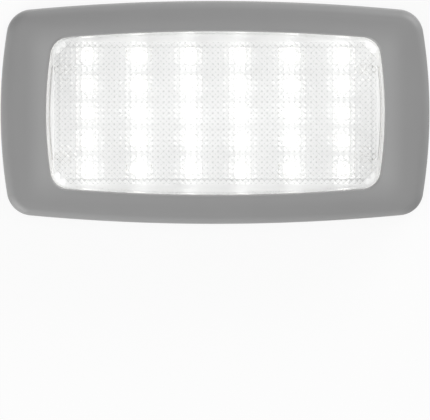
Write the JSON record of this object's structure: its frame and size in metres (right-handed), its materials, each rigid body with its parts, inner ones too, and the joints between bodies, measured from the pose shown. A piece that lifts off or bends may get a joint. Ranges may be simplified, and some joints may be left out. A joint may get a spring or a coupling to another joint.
{
  "type": "car dome light",
  "caption": "Low rectangular interior lamp with a grey clip-on bezel, a clear prismatic lens and a lit board of surface-mounted lamps on a screw-down tray.",
  "frame": {"origin": "centre of the flat mounting face on the back of the tray", "axes": "+X along the lamp's length, +Y across its width, +Z out of the mounting face, the way the light leaves"},
  "size_m": [0.15, 0.078, 0.0162],
  "materials": {
    "grey_bezel": "satin moulded ABS, neutral mid grey",
    "clear_lens": "clear moulded polycarbonate, smooth outside, prismatic inside",
    "white_plastic": "white moulded polycarbonate and ABS blend",
    "solder_mask": "white solder mask on glass-filled epoxy board",
    "lamp_package": "white moulded package with a pale phosphor well, lit",
    "terminal_plastic": "natural white polyamide",
    "black_moulding": "black epoxy moulding",
    "ceramic": "tan ceramic with tinned ends",
    "ferrite": "dark grey pressed ferrite"
  },
  "bodies": {
    "root": {"tray": "white_plastic", "circuit_board": "solder_mask", "board_rivets": "white_plastic", "lens": "clear_lens", "bezel": "grey_bezel", "wire_terminal": "terminal_plastic", "input_fuse": "ceramic", "reverse_diode": "black_moulding", "surge_suppressor": "black_moulding", "driver_chip": "black_moulding", "driver_coil": "ferrite", "input_capacitor": "ceramic", "output_capacitor": "ceramic", "sense_resistor": "black_moulding", "row_resistors": "black_moulding", "led_1_1": "lamp_package", "led_1_2": "lamp_package", "led_1_3": "lamp_package", "led_1_4": "lamp_package", "led_1_5": "lamp_package", "led_1_6": "lamp_package", "led_2_1": "lamp_package", "led_2_2": "lamp_package", "led_2_3": "lamp_package", "led_2_4": "lamp_package", "led_2_5": "lamp_package", "led_2_6": "lamp_package", "led_3_1": "lamp_package", "led_3_2": "lamp_package", "led_3_3": "lamp_package", "led_3_4": "lamp_package", "led_3_5": "lamp_package", "led_3_6": "lamp_package", "led_4_1": "lamp_package", "led_4_2": "lamp_package", "led_4_3": "lamp_package", "led_4_4": "lamp_package", "led_4_5": "lamp_package", "led_4_6": "lamp_package", "led_5_1": "lamp_package", "led_5_2": "lamp_package", "led_5_3": "lamp_package", "led_5_4": "lamp_package", "led_5_5": "lamp_package", "led_5_6": "lamp_package"}
  },
  "joints": []
}
